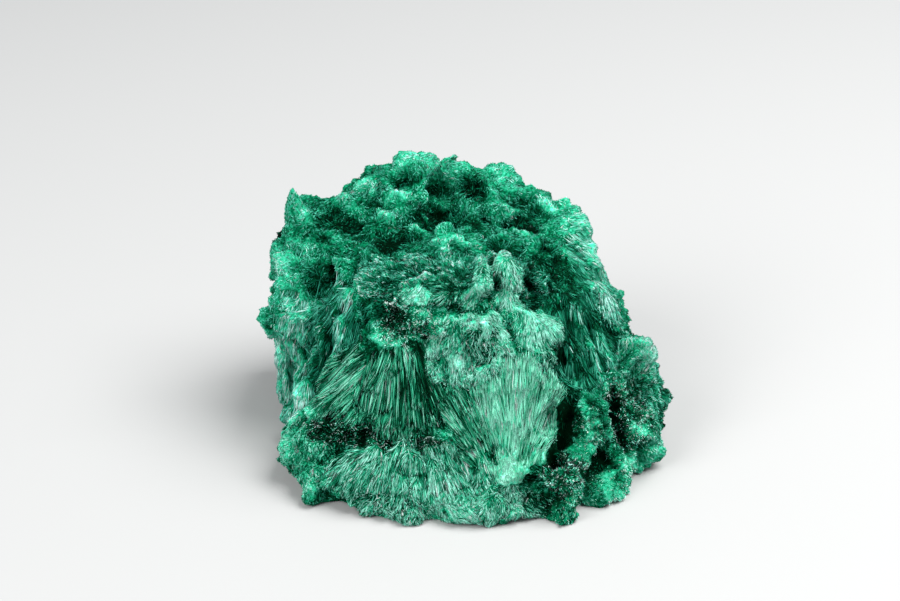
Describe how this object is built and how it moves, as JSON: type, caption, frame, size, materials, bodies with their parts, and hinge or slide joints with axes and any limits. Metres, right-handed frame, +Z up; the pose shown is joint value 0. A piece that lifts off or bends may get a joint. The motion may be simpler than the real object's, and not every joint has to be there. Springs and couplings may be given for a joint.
{
  "type": "velvet malachite specimen",
  "caption": "Natural mineral specimen: a hand-sized lump of velvety green fibres in radiating fans, with matted crests and dark crystal patches, cut off flat where it rests.",
  "frame": {"origin": "on the flat base, under the middle of the specimen's box", "axes": "+Z up from the flat base, -Y towards the broken front with the fans of fibres, +X to the right as seen from the front"},
  "size_m": [0.0688, 0.0652, 0.0419],
  "materials": {
    "malachite": "matte"
  },
  "bodies": {
    "root": {"malachite": "malachite"}
  },
  "joints": []
}
